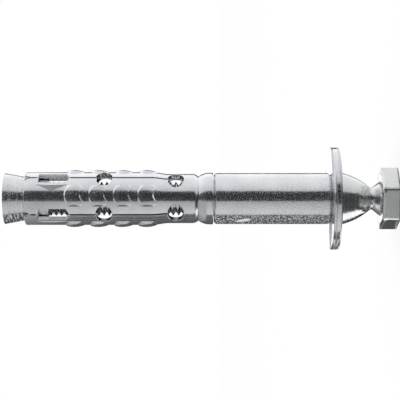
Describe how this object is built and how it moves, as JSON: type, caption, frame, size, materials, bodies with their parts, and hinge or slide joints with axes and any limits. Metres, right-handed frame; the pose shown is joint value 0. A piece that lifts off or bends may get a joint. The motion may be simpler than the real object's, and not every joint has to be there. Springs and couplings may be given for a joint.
{
  "type": "sleeve expansion anchor with break-off head",
  "caption": "Steel expansion anchor: break-off hex head, conical head, washer, spacer tube, slotted expansion sleeve with gripping nibs, and a cone nut.",
  "frame": {"origin": "middle of the end face of the hex drive head, on which the anchor stands", "axes": "+Z along the bolt from the hex head towards the cone nut, +X and +Y through the middle of two leaves of the sleeve"},
  "size_m": [0.024, 0.024, 0.0922],
  "materials": {
    "bolt_zinc": "bright zinc plating, finely turned",
    "washer_zinc": "bright zinc plating, stamped",
    "tube_zinc": "bright zinc plating, drawn tube",
    "sleeve_zinc": "bright zinc plating, rolled",
    "nut_zinc": "bright zinc plating, fine turning lines"
  },
  "bodies": {
    "sleeve": {"expansion_sleeve": "sleeve_zinc"},
    "bolt": {"shear_bolt": "bolt_zinc"},
    "washer": {"washer": "washer_zinc"},
    "spacer": {"spacer_sleeve": "tube_zinc"},
    "cone": {"cone_nut": "nut_zinc"}
  },
  "joints": [
    {"name": "bolt_turn", "type": "hinge", "parent": "sleeve", "child": "bolt", "pos_m": [0, 0, 0], "axis": [0, 0, 1], "range_deg": [-2700, 0]},
    {"name": "cone_travel", "type": "slide", "parent": "sleeve", "child": "cone", "axis": [0, 0, 1], "range_m": [0, 0.0094]},
    {"name": "washer_spin", "type": "hinge", "parent": "bolt", "child": "washer", "pos_m": [0, 0, 0.0139], "axis": [0, 0, 1], "continuous": true},
    {"name": "spacer_spin", "type": "hinge", "parent": "bolt", "child": "spacer", "pos_m": [0, 0, 0.0295], "axis": [0, 0, 1], "continuous": true}
  ],
  "couplings": [
    {"joint": "cone_travel", "follows": "bolt_turn", "m_per_rad": -0.00019894}
  ]
}
